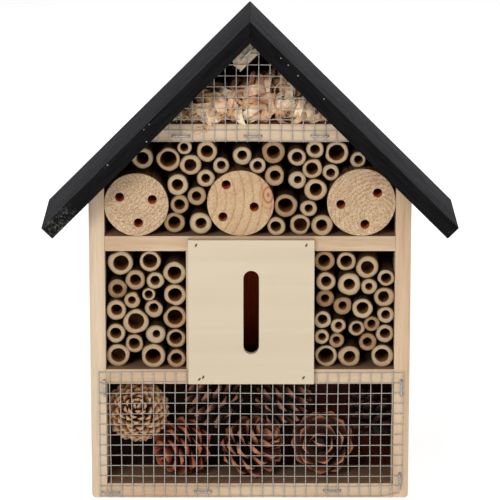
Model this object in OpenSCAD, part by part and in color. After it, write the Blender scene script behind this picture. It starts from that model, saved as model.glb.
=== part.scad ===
// Insect hotel: a gabled timber case with drilled logs, cut canes, pine cones and wood
// shavings, a slotted front panel and welded mesh over the gable and the cone bay.
// X runs from left to right, Y from front to back and Z up. The origin is the middle of
// the footprint, on the ground, and the front faces -Y. All sizes are in millimetres.

/* [Case] */
// Width of the case across its two sides
body_w = 186; // [155:1:224]
// Depth of the sides and the base, front to back
body_d = 50; // [42:1:64]
// Thickness of the sides, base, shelves, partitions and roof boards
board_t = 9; // [7:0.5:11]
// Thickness of the gable shelf
gable_shelf_t = 10; // [8:0.5:12]
// Thickness of the back panel
back_t = 5; // [4:0.5:7]
// Distance from the rear edges to the back panel
back_recess = 9; // [7:0.5:11]
// Clear height of the cone bay
cone_bay_h = 61; // [52:1:74]
// Clear height of the cane bays
cane_bay_h = 71; // [60:1:85]
// Clear height of the log bay, under the gable shelf
log_bay_h = 56; // [50:1:64]
// Height of the sides' inner faces above the upper shelf
eave_rise = 32; // [27:1:40]
// Width of the chamber between the partitions
chamber_w = 56; // [48:1:66]

/* [Roof] */
// How far the roof reaches past the case at the front
roof_overhang = 20; // [12:1:30]
// Length of each roof board past the case, along the slope
eave_overhang = 37; // [25:1:50]
// Size of the block under the ridge, across the slope
ridge_block_t = 10; // [8:0.5:12]
// Size of the block under the ridge, along the slope
ridge_block_w = 18; // [15:0.5:22]

/* [Front panel] */
// Width of the slotted panel
panel_w = 73; // [66:0.5:80]
// Thickness of the slotted panel
panel_t = 4; // [3:0.5:5]
// Height of the panel's lower edge above the underside of the lower shelf
panel_rise = 1; // [0:0.5:2]
// Distance from the panel's upper edge to the top of the upper shelf
panel_drop = 1.5; // [0:0.5:3]
// Width of the slot
slot_w = 9; // [7:0.5:12]
// Length of the slot
slot_h = 50; // [40:1:58]

/* [Logs and canes] */
// Diameter of the left, middle and right logs
log_d = [37, 38.5, 39.5];
// Diameter of the holes drilled in the logs
log_hole_d = 5.3; // [4:0.1:8]
// Depth of the holes drilled in the logs
log_hole_depth = 28; // [15:1:32]
// Clearance round each log and cane
cane_gap = 0.1; // [0.05:0.05:0.2]
// How far the canes of the two side bays stand back from the case's front
side_cane_inset = 4; // [2:0.5:8]
// Greatest distance that a cane stands in front of or behind its neighbours
cane_stagger = 1.6; // [0:0.1:3]

/* [Mesh] */
// Pitch of the welded mesh
mesh_pitch = 6.35; // [5:0.05:8]
// Diameter of the mesh wire
wire_d = 0.7; // [0.5:0.05:1]
// Number of upright wires in the lower mesh
lower_columns = 29; // [23:2:35]
// Width of a staple's crown
staple_w = 10.5; // [9:0.5:12]
// Width of the staple wire
staple_wire_w = 1.2; // [0.9:0.1:1.4]
// Thickness of the staple wire
staple_wire_t = 0.6; // [0.5:0.1:0.8]
// Length of a staple's legs in the wood
staple_leg = 8; // [5:0.5:10]

/* [Fixings] */
// Diameter of the brads
brad_d = 1.4; // [1:0.1:2]
// Length that a brad reaches into the second piece
brad_grip = 12; // [8:1:14]
// Diameter added to each hole that a brad, staple leg or screw fills
fixing_fit = 0.1; // [0.05:0.05:0.2]
// Diameter of the hole in the hanger plate
hanger_hole_d = 8; // [6:0.5:10]
// Thickness of the hanger plate
hanger_t = 1.5; // [1:0.1:2]
// Diameter of the hanger screws
screw_d = 3; // [2.5:0.1:3.5]

/* [Filling] */
// Diameters of the pine cones: six from left to right, then the one between the two largest
cone_d = [35, 34, 30, 35, 39, 26, 30];
// Height of the heap of wood shavings in the gable
shavings_h = 33; // [20:1:40]
// Clearance round the soft filling
soft_gap = 0.3; // [0.2:0.1:0.6]

/* [Hidden] */
$fn = 48;
cane_rows = 6;

roof_d = body_d + roof_overhang;
front_y = roof_d / 2 - body_d;
rear_y = roof_d / 2;
back_y = rear_y - back_recess - back_t;
bay_d = back_y - front_y;
inner_x = body_w / 2 - board_t;
lower_shelf_z = board_t + cone_bay_h;
cane_bay_z = lower_shelf_z + board_t;
upper_shelf_z = cane_bay_z + cane_bay_h;
log_bay_z = upper_shelf_z + board_t;
gable_shelf_z = log_bay_z + log_bay_h;
gable_z = gable_shelf_z + gable_shelf_t;
// Where the undersides of the two roof boards meet; the roof slopes at 45 degrees
apex_z = log_bay_z + eave_rise + inner_x;
slope_rise = board_t * sqrt(2);
ridge_z = apex_z + slope_rise;
roof_len = body_w / 2 * sqrt(2) + eave_overhang;
partition_x = chamber_w / 2 + board_t;
// Cuts start this far outside a face, so that they break it cleanly
cut = 1;

// Half the clear width under the roof at a height
function roof_half(z) = apex_z - z;

// ---- Timber ----

// Gives an outline in the XZ plane a depth towards the back
module upright(y, depth) {
    translate([0, y + depth, 0])
        rotate([90, 0, 0])
            linear_extrude(depth)
                children();
}

module block(low, high) {
    translate(low)
        cube(high - low);
}

// A side, standing on the ground with its top cut to the slope of the roof
module side_board() {
    upright(front_y, body_d)
        polygon([
            [inner_x, 0], [body_w / 2, 0],
            [body_w / 2, apex_z - body_w / 2], [inner_x, apex_z - inner_x]
        ]);
}

module left_side() {
    color("#dcbea0")
        difference() {
            mirror([1, 0, 0]) side_board();
            side_brad_set(fixing_fit);
            roof_brad_set(fixing_fit);
            lower_staple_set(fixing_fit);
        }
}

module right_side() {
    color("#dcbea0")
        difference() {
            side_board();
            side_brad_set(fixing_fit);
            roof_brad_set(fixing_fit);
            lower_staple_set(fixing_fit);
        }
}

module base_board() {
    color("#dcbea0")
        difference() {
            block([-inner_x, front_y, 0], [inner_x, rear_y, board_t]);
            side_brad_set(fixing_fit);
            back_brad_set(fixing_fit);
            lower_staple_set(fixing_fit);
        }
}

// A shelf between the sides, in front of the back panel
module shelf(z) {
    difference() {
        block([-inner_x, front_y, z], [inner_x, back_y, z + board_t]);
        side_brad_set(fixing_fit);
        back_brad_set(fixing_fit);
        panel_brad_set(fixing_fit);
    }
}

module lower_shelf() {
    color("#dcbea0") shelf(lower_shelf_z);
}

module upper_shelf() {
    color("#dcbea0") shelf(upper_shelf_z);
}

// The gable shelf, its ends cut to lie against the roof
module gable_shelf() {
    color("#dcc3a0")
        difference() {
            upright(front_y, bay_d)
                polygon([
                    [-roof_half(gable_shelf_z), gable_shelf_z], [roof_half(gable_shelf_z), gable_shelf_z],
                    [roof_half(gable_z), gable_z], [-roof_half(gable_z), gable_z]
                ]);
            back_brad_set(fixing_fit);
            gable_staple_set(fixing_fit);
        }
}

module partition(x) {
    block([x - board_t / 2, front_y, cane_bay_z], [x + board_t / 2, back_y, upper_shelf_z]);
}

module left_partition() {
    color("#d7b995") partition(board_t / 2 - partition_x);
}

module right_partition() {
    color("#d7b995") partition(partition_x - board_t / 2);
}

module back_panel() {
    color("#5a1e12")
        difference() {
            upright(back_y, back_t)
                polygon([
                    [-inner_x, board_t], [inner_x, board_t], [inner_x, apex_z - inner_x],
                    [0, apex_z], [-inner_x, apex_z - inner_x]
                ]);
            back_brad_set(fixing_fit);
            hanger_screw_set(fixing_fit);
            translate([0, back_y - cut, hanger_z])
                rotate([-90, 0, 0])
                    cylinder(d = hanger_hole_d + hanger_relief, h = back_t + 2 * cut);
        }
}

// One roof board on the right of the ridge, with a mitre at the ridge and a square end
module roof_board() {
    drop = roof_len / sqrt(2);
    back_step = board_t / sqrt(2);
    difference() {
        upright(-roof_d / 2, roof_d)
            polygon([
                [0, apex_z], [0, ridge_z], [drop, ridge_z - drop],
                [drop - back_step, ridge_z - drop - back_step]
            ]);
        roof_brad_set(fixing_fit);
    }
}

module roof_left() {
    color("#3a3a3c") mirror([1, 0, 0]) roof_board();
}

module roof_right() {
    color("#3a3a3c") roof_board();
}

// Draws its children in a frame that starts where the two roof undersides meet, with X down
// the left slope and Z away from it, into the case
module under_left_slope() {
    translate([0, 0, apex_z])
        rotate([0, 135, 0])
            children();
}

// A block in the corner under the ridge, against both roof boards
module ridge_block() {
    color("#e0c8a0")
        difference() {
            under_left_slope()
                block([0, front_y, 0], [ridge_block_w, back_y, ridge_block_t]);
            gable_staple_set(fixing_fit);
        }
}

// ---- Slotted front panel ----

// The panel and the lower mesh were both fixed this far right of the middle
mesh_shift = 0.7;
panel_x = mesh_shift;
panel_low = lower_shelf_z + panel_rise;
panel_high = log_bay_z - panel_drop;
panel_y = front_y - panel_t;
slot_z = (panel_low + panel_high) / 2;

module front_panel() {
    color("#ddcfb2")
        difference() {
            upright(panel_y, panel_t)
                difference() {
                    translate([panel_x - panel_w / 2, panel_low])
                        square([panel_w, panel_high - panel_low]);
                    slot_outline();
                }
            // The lower mesh lies in a shallow rebate behind the panel's lower edge
            block([panel_x - panel_w / 2 - cut, front_y - mesh_t - mesh_fit, panel_low - cut],
                  [panel_x + panel_w / 2 + cut, front_y + cut, lower_mesh_top + wire_d]);
            panel_brad_set(fixing_fit);
        }
}

// The slot, a straight-sided outline with a full radius at each end
module slot_outline() {
    straight = slot_h - slot_w;
    translate([panel_x - slot_w / 2, slot_z - straight / 2])
        square([slot_w, straight]);
    for (end = [-1, 1])
        translate([panel_x, slot_z + end * straight / 2])
            circle(d = slot_w);
}

// ---- Welded mesh ----

// The two layers of wire lie on each other: level wires on the wood, upright wires outside
mesh_fit = 0.05;
mesh_t = 2 * wire_d + 2 * mesh_fit;
gable_mesh_shift = -1.4;
level_y = front_y - mesh_fit - wire_d / 2;
upright_y = level_y - mesh_fit - wire_d;
mesh_base = 1;
// The wires of the gable mesh end this far inside the slope of the roof
gable_margin = 1;
lower_rows = floor((cane_bay_z - mesh_base) / mesh_pitch) + 1;
lower_mesh_top = mesh_base + (lower_rows - 1) * mesh_pitch;
gable_rows = floor(roof_half(gable_shelf_z) / mesh_pitch);
gable_columns = gable_rows + 1;

function column_x(i) = mesh_shift + i * mesh_pitch;
function row_z(j) = mesh_base + j * mesh_pitch;
function gable_column_x(i) = gable_mesh_shift + i * mesh_pitch;
function gable_row_z(j) = gable_shelf_z + j * mesh_pitch;

// The highest row that a column of the gable mesh reaches, inside a margin along the roof
function top_row(i, margin) =
    floor((roof_half(gable_shelf_z) - margin - abs(gable_column_x(i))) / mesh_pitch);

module level_wire(x1, x2, z) {
    translate([x1, level_y, z])
        rotate([0, 90, 0])
            cylinder(d = wire_d, h = x2 - x1, $fn = 24);
}

module upright_wire(x, z1, z2) {
    translate([x, upright_y, z1])
        cylinder(d = wire_d, h = z2 - z1, $fn = 24);
}

module lower_mesh() {
    last = (lower_columns - 1) / 2;
    end = wire_d / 2;
    color("#a0a5a5") {
        for (i = [-last:last])
            upright_wire(column_x(i), row_z(0) - end, lower_mesh_top + end);
        for (j = [0:lower_rows - 1])
            level_wire(column_x(-last) - end, column_x(last) + end, row_z(j));
    }
}

// The gable mesh, cut along the slope of the roof. A wire is there if two others cross it.
module gable_mesh() {
    columns = [for (i = [-gable_columns:gable_columns]) if (top_row(i, gable_margin) > 0) i];
    color("#a0a5a5") {
        for (i = columns) {
            x = gable_column_x(i);
            upright_wire(x, gable_row_z(0) - wire_d / 2, apex_z - gable_margin - abs(x));
        }
        for (j = [0:gable_rows])
            if (len([for (i = columns) if (top_row(i, gable_margin) >= j) i]) > 1) {
                half = roof_half(gable_row_z(j)) - gable_margin;
                level_wire(-half, half, gable_row_z(j));
            }
    }
}

// ---- Staples ----

// A staple with its crown along X, its middle at the origin and its legs towards +Y. The
// slots for its legs are the same shape with the fit added.
module staple(grow) {
    reach = mesh_t + staple_leg;
    for (side = [-1, 1])
        translate([side * (staple_w - staple_wire_t) / 2, 0, 0])
            block([-(staple_wire_t + grow) / 2, -mesh_t, -(staple_wire_w + grow) / 2],
                  [(staple_wire_t + grow) / 2, reach - mesh_t + grow, (staple_wire_w + grow) / 2]);
    block([-staple_w / 2, -mesh_t - staple_wire_t, -staple_wire_w / 2],
          [staple_w / 2, -mesh_t, staple_wire_w / 2]);
}

// Where each staple of the lower mesh lies, in columns and rows of the mesh, and the turn of
// its crown
last_gap = (lower_columns - 1) / 2 - 0.5;
lower_staples = [
    [-last_gap, lower_rows - 2.5, 90], [-last_gap + 0.5, 0.4, 0], [-4.5, 0.5, 0],
    [7.5, 0.6, 0], [last_gap + 0.3, lower_rows - 2.5, 90], [last_gap + 0.25, 1.5, 90]
];

module lower_staple_set(grow) {
    for (s = lower_staples)
        translate([column_x(s[0]), front_y, row_z(s[1])])
            rotate([0, s[2], 0])
                staple(grow);
}

module lower_mesh_staples() {
    color("#b4b8b8") lower_staple_set(0);
}

// Three staples on the gable shelf, and one across a crossing of the mesh under the ridge
ridge_staple_margin = 3;
gable_staples = [
    [-6, 0.5, 0], [0.5, 0.5, 0], [6.5, 0.5, 0], [0, top_row(0, ridge_staple_margin), -45]
];

module gable_staple_set(grow) {
    for (s = gable_staples)
        translate([gable_column_x(s[0]), front_y, gable_row_z(s[1])])
            rotate([0, s[2], 0])
                staple(grow);
}

module gable_mesh_staples() {
    color("#b4b8b8") gable_staple_set(0);
}

// ---- Brads ----

// A headless brad along +Z, starting flush with a face at the origin
module brad(len, grow) {
    translate([0, 0, grow > 0 ? -cut : 0])
        cylinder(d = brad_d + grow, h = len + grow + (grow > 0 ? cut : 0), $fn = 24);
}

// Two brads at each end of the base and of both shelves, through the sides
module side_brad_set(grow) {
    for (side = [-1, 1], z = [0, lower_shelf_z, upper_shelf_z], y = [0.25, 0.75])
        translate([side * body_w / 2, front_y + y * bay_d, z + board_t / 2])
            rotate([0, -side * 90, 0])
                brad(board_t + brad_grip, grow);
}

module side_brads() {
    color("#9a9a96") side_brad_set(0);
}

// Two brads in the top of each side, driven down through the roof
module roof_brad_set(grow) {
    x = body_w / 2 - board_t / 2;
    for (side = [-1, 1], y = [0.25, 0.75])
        translate([side * x, front_y + y * body_d, ridge_z - x - brad_d / 2])
            rotate([180, 0, 0])
                brad(slope_rise + brad_grip, grow);
}

module roof_brads() {
    color("#58585a") roof_brad_set(0);
}

// Brads through the back panel into the rear edges of the three shelves
module back_brad_set(grow) {
    for (side = [-1, 1]) {
        for (z = [lower_shelf_z, upper_shelf_z])
            translate([side * inner_x * 0.6, back_y + back_t, z + board_t / 2])
                rotate([90, 0, 0])
                    brad(back_t + brad_grip, grow);
        translate([side * roof_half(gable_z) * 0.5, back_y + back_t, gable_shelf_z + gable_shelf_t / 2])
            rotate([90, 0, 0])
                brad(back_t + brad_grip, grow);
    }
}

module back_brads() {
    color("#9a9a96") back_brad_set(0);
}

// Brads through the front panel into the front edges of the shelves. The lower ones pass
// between the wires of the mesh.
module panel_brad_set(grow) {
    upper = [[column_x(-5), upper_shelf_z + board_t / 2], [column_x(5), upper_shelf_z + board_t / 2]];
    lower = [for (at = [[-4.75, 1.5], [-4.4, 1.3], [4.8, 1.35]])
        [column_x(at[0]), row_z(lower_rows - at[1])]];
    for (p = concat(upper, lower))
        translate([p[0], panel_y, p[1]])
            rotate([-90, 0, 0])
                brad(panel_t + brad_grip, grow);
}

module panel_brads() {
    color("#8c8478") panel_brad_set(0);
}

// ---- Hanger ----

hanger_w = 40;
hanger_h = 16;
hanger_rise = 20;
hanger_z = gable_z + hanger_rise;
hanger_y = back_y + back_t;
hanger_relief = 2;
screw_pitch = 28;
screw_head_d = 5.5;
screw_head_t = 1.8;
screw_grip = back_t - 0.5;

// The plate that a nail or hook in a wall passes into, with rounded ends
module hanger_plate() {
    color("#b9bcbe")
        difference() {
            upright(hanger_y, hanger_t)
                translate([0, hanger_z])
                    hanger_outline();
            translate([0, hanger_y - cut, hanger_z])
                rotate([-90, 0, 0])
                    cylinder(d = hanger_hole_d, h = hanger_t + 2 * cut);
            hanger_screw_set(fixing_fit);
        }
}

module hanger_outline() {
    straight = hanger_w - hanger_h;
    square([straight, hanger_h], center = true);
    for (side = [-1, 1])
        translate([side * straight / 2, 0])
            circle(d = hanger_h);
}

// Two pan-head screws, from behind into the back panel
module hanger_screw_set(grow) {
    for (side = [-1, 1])
        translate([side * screw_pitch / 2, hanger_y + hanger_t, hanger_z])
            rotate([90, 0, 0]) {
                cylinder(d = screw_d + grow, h = hanger_t + screw_grip + grow);
                if (grow == 0)
                    translate([0, 0, -screw_head_t])
                        cylinder(d = screw_head_d, h = screw_head_t);
            }
}

module hanger_screws() {
    color("#b9bcbe") hanger_screw_set(0);
}

// ---- Round pieces packed between walls ----
// A piece is [x, z, radius, ...] and a wall is [nx, nz, c], clear where nx x + nz z > c.
// Each piece is moved from where it is meant to lie to the nearest place where it rests
// against one or two walls or pieces and overlaps nothing. One that has no such place is left
// out, since a smaller bay holds fewer pieces.

slack = 0.001;
// A cane or a cone moves no further than this to its seat
cane_reach = 14;
cone_reach = 40;

function wall_gap(p, r, w) = w[0] * p[0] + w[1] * p[1] - w[2] - r - cane_gap;
function piece_gap(p, r, q) = norm([p[0] - q[0], p[1] - q[1]]) - r - q[2] - cane_gap;

// The nearest seat against one wall, or against one piece
function at_wall(p, r, w) = [p[0], p[1]] - wall_gap(p, r, w) * [w[0], w[1]];
function at_piece(p, r, q) =
    let (d = norm([p[0] - q[0], p[1] - q[1]]))
    d < slack ? [] : [[q[0], q[1]] + [p[0] - q[0], p[1] - q[1]] * (r + q[2] + cane_gap) / d];

// Seats against two walls
function wall_wall(a, b, r) =
    let (ca = a[2] + r + cane_gap, cb = b[2] + r + cane_gap, det = a[0] * b[1] - a[1] * b[0])
    abs(det) < slack ? [] : [[(ca * b[1] - cb * a[1]) / det, (a[0] * cb - b[0] * ca) / det]];

// Seats against a wall and a piece
function wall_piece(w, q, r) =
    let (
        off = w[2] + r + cane_gap - w[0] * q[0] - w[1] * q[1],
        reach = q[2] + r + cane_gap,
        half = reach * reach - off * off
    )
    half < 0 ? [] : [for (s = [-1, 1])
        [q[0] + w[0] * off - s * w[1] * sqrt(half), q[1] + w[1] * off + s * w[0] * sqrt(half)]];

// Seats against two pieces
function piece_piece(p, q, r) =
    let (
        dx = q[0] - p[0], dz = q[1] - p[1], d = norm([dx, dz]),
        a = p[2] + r + cane_gap, b = q[2] + r + cane_gap,
        along = d == 0 ? 0 : (d * d + a * a - b * b) / (2 * d),
        half = a * a - along * along
    )
    d == 0 || half < 0 ? [] : [for (s = [-1, 1])
        [p[0] + (along * dx - s * sqrt(half) * dz) / d, p[1] + (along * dz + s * sqrt(half) * dx) / d]];

function is_free(p, r, walls, placed) =
    min([for (w = walls) wall_gap(p, r, w)]) > -slack
    && (len(placed) == 0 || min([for (q = placed) piece_gap(p, r, q)]) > -slack);

// The free seat nearest to p, or undef
function nearest_seat(p, r, walls, placed, reach) =
    let (
        near = [for (q = placed) if (piece_gap(p, r, q) < reach) q],
        sides = [for (w = walls) if (wall_gap(p, r, w) < reach) w],
        seats = concat(
            [for (w = sides) at_wall(p, r, w)],
            [for (q = near) each at_piece(p, r, q)],
            [for (i = [0:1:len(sides) - 1], j = [0:1:i - 1]) each wall_wall(sides[i], sides[j], r)],
            [for (w = sides, q = near) each wall_piece(w, q, r)],
            [for (i = [0:1:len(near) - 1], j = [0:1:i - 1]) each piece_piece(near[i], near[j], r)]
        ),
        free = [for (s = seats) if (norm(s - p) < reach && is_free(s, r, walls, placed)) s],
        moves = [for (s = free) norm(s - p)]
    )
    len(free) == 0 ? undef : free[search(min(moves), moves)[0]];

// Places the listed pieces one after another, and keeps what else each one says
function settle(list, walls, reach, placed = [], i = 0) =
    i == len(list) ? placed :
    let (
        p = list[i],
        seat = nearest_seat([p[0], p[1]], p[2], walls, placed, reach),
        more = seat == undef ? [] : [[seat[0], seat[1], p[2], p[3], p[4]]]
    )
    settle(list, walls, reach, concat(placed, more), i + 1);

floor_wall = function (z) [0, 1, z];
ceiling_wall = function (z) [0, -1, -z];
left_wall = function (x) [1, 0, x];
right_wall = function (x) [-1, 0, -x];
roof_walls = [[sqrt(0.5), -sqrt(0.5), -apex_z * sqrt(0.5)], [-sqrt(0.5), -sqrt(0.5), -apex_z * sqrt(0.5)]];

// ---- Drilled logs ----

// Where each log is meant to lie, from the middle of the case, and its three holes, from its
// own middle
log_x = [-inner_x + log_d[0] / 2, -5.5, inner_x - log_d[2] / 2];
log_holes = [
    [[-9.6, 4.4], [9.2, 3], [1.1, -10.8]],
    [[-8.2, 11], [-10.1, -8], [7.9, -2.1]],
    [[-11.9, -1.1], [9.2, 5.7], [2.1, -12.9]]
];

// The bark was shaved off in flats
log_facets = 32;

function facet_direction(k) = [cos(k * 360 / log_facets), sin(k * 360 / log_facets)];

function log_place(i) = [log_x[i], log_bay_z + log_d[i] / 2 + cane_gap, log_d[i] / 2];

module log(i) {
    p = log_place(i) + [i == 0 ? cane_gap : i == 2 ? -cane_gap : 0, 0, 0];
    color("#d7b991")
        translate([p[0], back_y, p[1]])
            rotate([90, 0, 0])
                difference() {
                    linear_extrude(bay_d)
                        polygon([for (k = [1:log_facets]) p[2] * facet_direction(k)]);
                    for (h = log_holes[i])
                        translate([h[0], h[1], bay_d - log_hole_depth])
                            cylinder(d = log_hole_d, h = log_hole_depth + cut, $fn = 12);
                }
}

module log_left() {
    log(0);
}

module log_middle() {
    log(1);
}

module log_right() {
    log(2);
}

// ---- Cut canes ----
// Each cane is [x, z, diameter, bore]: where it is meant to lie and how thick it is. The
// left and right bays measure x from their left wall, and the log bay from its middle.

left_bay = [
    [6.5, 5.5, 13.5, 8.5], [27.5, 6.5, 14.5, 9], [41, 5.5, 11, 6.5], [16.5, 13, 11, 6.5],
    [5, 20.5, 11.5, 6.5], [29, 19.5, 11.5, 4.5], [40.8, 16.8, 11.5, 7.4], [17.5, 26.5, 15, 9.5],
    [40.3, 29.8, 13.4, 9], [28, 35, 10.8, 5.5], [6.5, 35, 12, 6.5], [16, 41, 9.5, 4.5],
    [25.2, 44, 7.8, 4.8], [40.4, 43.5, 13, 8], [7.5, 46.5, 11.5, 6], [28.8, 52, 10.3, 5.5],
    [17.5, 52.5, 12, 6.5], [40.2, 57.2, 13.3, 8], [9, 62.5, 14.5, 9], [26, 64, 12.6, 8.4]
];
right_bay = [
    [7.5, 6.5, 13, 9], [21, 6.5, 13, 7], [40, 7, 13.5, 8], [31.5, 15.5, 10.5, 5.5],
    [14, 16.5, 9, 4.5], [5, 18.5, 9, 4.5], [41.4, 20, 11, 6], [24.5, 24, 9.5, 5.5],
    [34, 25, 9, 5], [14.5, 26.5, 9, 4.4], [5.5, 29, 10.5, 5.7], [41.5, 31, 10, 5.2],
    [28.5, 35.5, 12, 7], [17, 37.5, 11, 5], [7.5, 41, 10.5, 5], [42, 42.5, 12, 6.5],
    [33, 48.5, 9.5, 4.2], [20, 50.5, 13.5, 6.6], [7, 52.5, 11.3, 6.1], [42.5, 54, 10, 6],
    [31, 61, 13.5, 7.6], [6, 63.5, 12, 7.2], [18.5, 63.5, 11.3, 7]
];
upper_bay = [
    [15, 5.5, 11, 6.1], [29, 6, 12, 7.7], [41.5, 6, 12.5, 6.6], [-43, 7, 12, 7.2],
    [-28.5, 7.5, 13, 6.3], [33.5, 16, 10, 4.8], [21, 17.5, 13.5, 8.6], [-40.5, 18.5, 11, 6.2],
    [-30.5, 23.5, 11, 5.5], [37.5, 26.5, 13, 7.3], [-41.5, 31, 12.5, 6.6], [-25, 33.5, 10.5, 5.1],
    [25.5, 33.5, 10.5, 4.4], [14.5, 35.5, 12, 6.1], [46.5, 37, 10, 5.1], [35, 39, 11.5, 7],
    [-33.5, 41, 12.5, 7], [-16.6, 40.8, 9.8, 5], [4.5, 41.5, 9.5, 5.1], [-61, 44.5, 12.5, 7.1],
    [62, 44.5, 9.5, 5], [-47.6, 44.8, 13.8, 9.4], [-5, 47, 11, 5.5], [25.5, 47.5, 10.5, 6],
    [49.8, 48.6, 13.6, 9.2], [13.5, 49, 13, 7.7], [-24.6, 49.8, 12.2, 7], [37.3, 50.6, 10.4, 5.5],
    [-36.3, 51.5, 8.6, 4.8]
];

// The canes of a list as pieces, with the number of each
function as_pieces(list, x0, z0) =
    [for (i = [0:len(list) - 1])
        let (c = list[i]) [x0 + c[0], z0 + c[1], c[2] / 2, c[3], i]];

function side_bay_canes(list, x0, x1) =
    settle(as_pieces(list, x0, cane_bay_z),
           [left_wall(x0), right_wall(x1), floor_wall(cane_bay_z), ceiling_wall(upper_shelf_z)],
           cane_reach);

function upper_bay_canes() =
    let (
        logs = [for (i = [0:2]) log_place(i)],
        walls = concat([left_wall(-inner_x), right_wall(inner_x), floor_wall(log_bay_z),
                        ceiling_wall(gable_shelf_z)], roof_walls),
        all = settle(as_pieces(upper_bay, 0, log_bay_z), walls, cane_reach, logs)
    )
    [for (i = [3:len(all) - 1]) all[i]];

// The canes of a bay in one of its rows, counted from the bottom
function row_of(canes, count, row) =
    [for (c = canes) if (floor(c[4] * cane_rows / count) == row - 1) c];

module cane(c, inset) {
    len = bay_d - inset + cane_stagger * sin(c[4] * 137 + c[2] * 90);
    translate([c[0], back_y, c[1]])
        rotate([90, 0, 0])
            difference() {
                cylinder(r = c[2], h = len);
                translate([0, 0, -cut])
                    cylinder(d = c[3], h = len + 2 * cut, $fn = 32);
            }
}

module left_canes(row) {
    canes = side_bay_canes(left_bay, -inner_x, -partition_x);
    color("#cdb48c")
        for (c = row_of(canes, len(left_bay), row))
            cane(c, side_cane_inset);
}

module right_canes(row) {
    canes = side_bay_canes(right_bay, partition_x, inner_x);
    color("#cdb48c")
        for (c = row_of(canes, len(right_bay), row))
            cane(c, side_cane_inset);
}

module upper_canes(row) {
    color("#cdb48c")
        for (c = row_of(upper_bay_canes(), len(upper_bay), row))
            cane(c, cane_stagger);
}

// ---- Pine cones ----
// Each cone is a turned body with a facet for each ring of scales. It is meant to lie at
// [x, z], where x is a share of half the bay and z starts at its floor, and the two turns
// point its axis.

cone_rings = 9;
cone_lie = [
    [-0.78, 38, 80, -20], [-0.48, 17, 70, 30], [-0.26, 45, 20, 60], [0.02, 18, 25, -50],
    [0.51, 20, 86, 10], [0.84, 36, 60, 20], [0.25, 44, 30, -40]
];
cone_order = [1, 3, 4, 0, 2, 6, 5];

function cone_places() =
    settle([for (i = cone_order)
                [cone_lie[i][0] * inner_x, board_t + cone_lie[i][1], cone_d[i] / 2, 0, i]],
           [left_wall(-inner_x), right_wall(inner_x), floor_wall(board_t), ceiling_wall(lower_shelf_z)],
           cone_reach);

// The outline of half a cone, with its rings on a circle
module cone_outline(r) {
    polygon([for (i = [0:cone_rings]) let (a = -90 + i * 180 / cone_rings) r * [cos(a), sin(a)]]);
}

module pine_cone(i) {
    found = [for (c = cone_places()) if (c[4] == i) c];
    lie = cone_lie[i];
    color(i == 0 ? "#b9915f" : "#7a4630")
        for (c = found)
            translate([c[0], (front_y + back_y) / 2, c[1]])
                rotate([lie[2], 0, lie[3]])
                    rotate_extrude($fn = 64)
                        cone_outline(min(c[2], bay_d / 2 - soft_gap));
}

// ---- Wood shavings ----

shavings_steps = 16;

// The top of the heap, highest on the right, and never through the roof
function shavings_top(x, half) =
    min(roof_half(0) - abs(x) - soft_gap * sqrt(2),
        gable_z + shavings_h * (0.9 + 0.1 * sin(x / half * 150)));

module wood_shavings() {
    low = gable_z + soft_gap;
    half = roof_half(low) - soft_gap * sqrt(2);
    color("#ebcda5")
        upright(front_y + 2 * soft_gap, bay_d - 3 * soft_gap)
            polygon(concat(
                [[-half, low]],
                [for (i = [1:shavings_steps - 1])
                    let (x = -half + 2 * half * i / shavings_steps) [x, shavings_top(x, half)]],
                [[half, low]]
            ));
}

left_side();
right_side();
base_board();
lower_shelf();
upper_shelf();
gable_shelf();
left_partition();
right_partition();
back_panel();
roof_left();
roof_right();
ridge_block();
front_panel();
log_left();
log_middle();
log_right();
lower_mesh();
gable_mesh();
lower_mesh_staples();
gable_mesh_staples();
panel_brads();
side_brads();
roof_brads();
back_brads();
hanger_plate();
hanger_screws();
wood_shavings();
for (i = [1:len(cone_d)])
    pine_cone(i - 1);
for (row = [1:cane_rows]) {
    left_canes(row);
    right_canes(row);
    upper_canes(row);
}
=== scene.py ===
"""Insect hotel: the detailed look of each piece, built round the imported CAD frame."""
import math
import random

import bpy
import bmesh
from mathutils import Matrix, Vector, noise


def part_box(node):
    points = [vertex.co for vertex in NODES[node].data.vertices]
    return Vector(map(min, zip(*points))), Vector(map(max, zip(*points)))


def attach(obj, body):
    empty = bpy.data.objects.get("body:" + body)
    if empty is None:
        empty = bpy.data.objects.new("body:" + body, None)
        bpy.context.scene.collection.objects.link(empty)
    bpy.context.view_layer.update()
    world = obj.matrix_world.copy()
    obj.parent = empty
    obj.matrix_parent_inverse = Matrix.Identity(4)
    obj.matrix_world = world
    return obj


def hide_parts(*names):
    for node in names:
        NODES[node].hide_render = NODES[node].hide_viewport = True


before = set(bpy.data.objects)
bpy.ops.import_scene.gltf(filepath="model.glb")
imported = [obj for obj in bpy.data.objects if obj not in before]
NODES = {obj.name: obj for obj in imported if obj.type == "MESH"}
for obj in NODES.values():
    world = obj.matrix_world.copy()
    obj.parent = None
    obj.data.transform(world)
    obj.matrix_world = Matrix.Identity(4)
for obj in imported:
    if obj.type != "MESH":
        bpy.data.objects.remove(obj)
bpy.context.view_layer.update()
MM = 0.001


# ---- Colours and materials ----

def srgb(r, g, b):
    """A linear colour from 0 to 255 screen values."""
    def one(v):
        v /= 255
        return v / 12.92 if v <= 0.04045 else ((v + 0.055) / 1.055) ** 2.4
    return (one(r), one(g), one(b), 1)


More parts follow.
